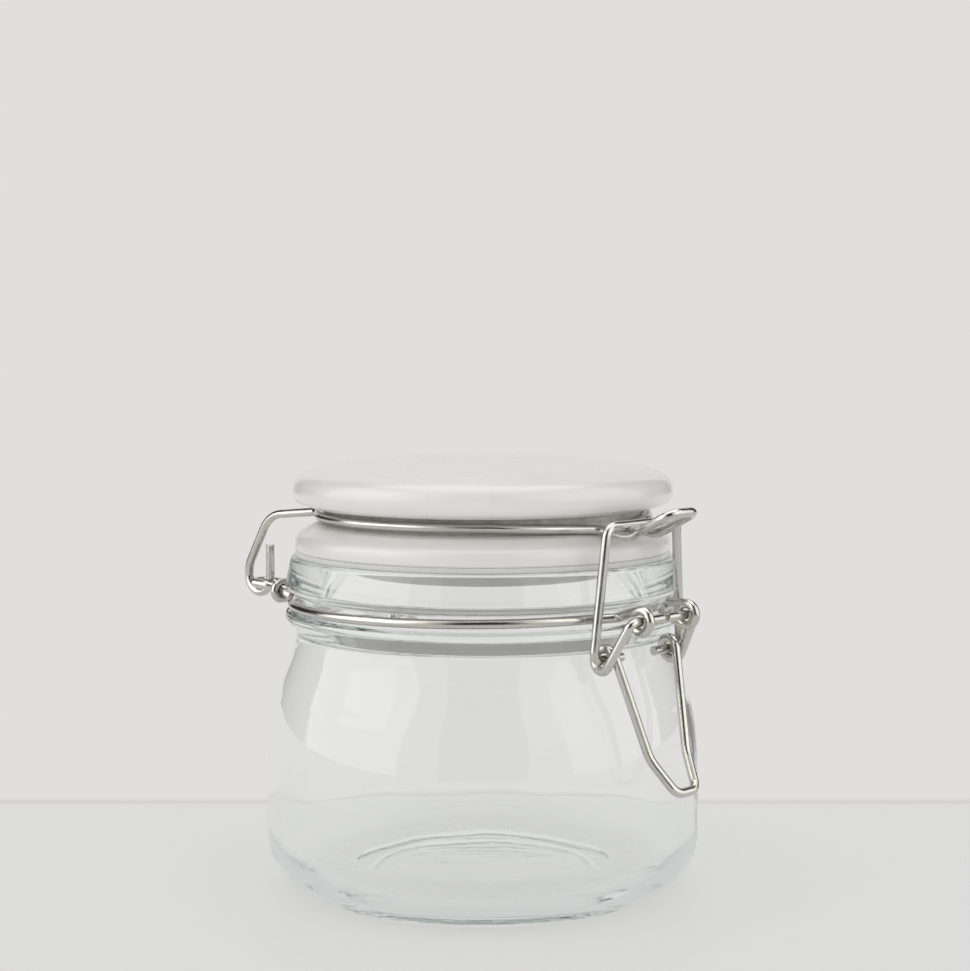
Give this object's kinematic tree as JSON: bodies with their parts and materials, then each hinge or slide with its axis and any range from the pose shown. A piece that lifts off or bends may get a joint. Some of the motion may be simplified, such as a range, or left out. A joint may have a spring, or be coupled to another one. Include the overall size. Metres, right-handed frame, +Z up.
{
  "type": "bail clamp jar",
  "caption": "Squat clear glass storage jar with a white ceramic lid, a sealing ring, a wire hinge and an over-centre wire latch.",
  "frame": {"origin": "centre of the flat resting ring under the jar", "axes": "+Z up along the jar's axis, +X towards the latch, hinge at -X"},
  "size_m": [0.1254, 0.1068, 0.106],
  "materials": {
    "clear_glass": "clear pressed glass with a faint blue-green cast in the thick collar and heel",
    "white_ceramic": "opaque glossy warm white glaze",
    "seal_rubber": "translucent whitish silicone, satin",
    "band_wire": "bright drawn stainless wire with fine draw lines",
    "tie_wire": "bright drawn stainless wire",
    "bail_wire": "bright drawn stainless wire with fine draw lines",
    "link_wire": "bright drawn stainless wire with fine draw lines",
    "lever_wire": "bright drawn stainless wire with fine draw lines"
  },
  "bodies": {
    "jar": {"jar_body": "clear_glass", "neck_band": "band_wire", "hinge_ties": "tie_wire"},
    "lid": {"lid": "white_ceramic", "gasket": "seal_rubber", "lid_bail": "bail_wire"},
    "lever": {"latch_lever": "lever_wire"},
    "link": {"latch_link": "link_wire"}
  },
  "joints": [
    {"name": "lid_hinge", "type": "hinge", "parent": "jar", "child": "lid", "pos_m": [-0.0556, 0, 0.0726], "axis": [0, -1, 0], "range_deg": [0, 200]},
    {"name": "lever_pivot", "type": "hinge", "parent": "jar", "child": "lever", "pos_m": [0.0568, 0, 0.0711], "axis": [0, -1, 0], "range_deg": [0, 150]},
    {"name": "link_pivot", "type": "hinge", "parent": "lever", "child": "link", "pos_m": [0.0491, 0, 0.062], "axis": [0, -1, 0], "range_deg": [-325, 0], "deforming": ["latch_link"]}
  ],
  "couplings": [
    {"joint": "link_pivot", "follows": "lever_pivot", "ratio": -2.1667}
  ]
}
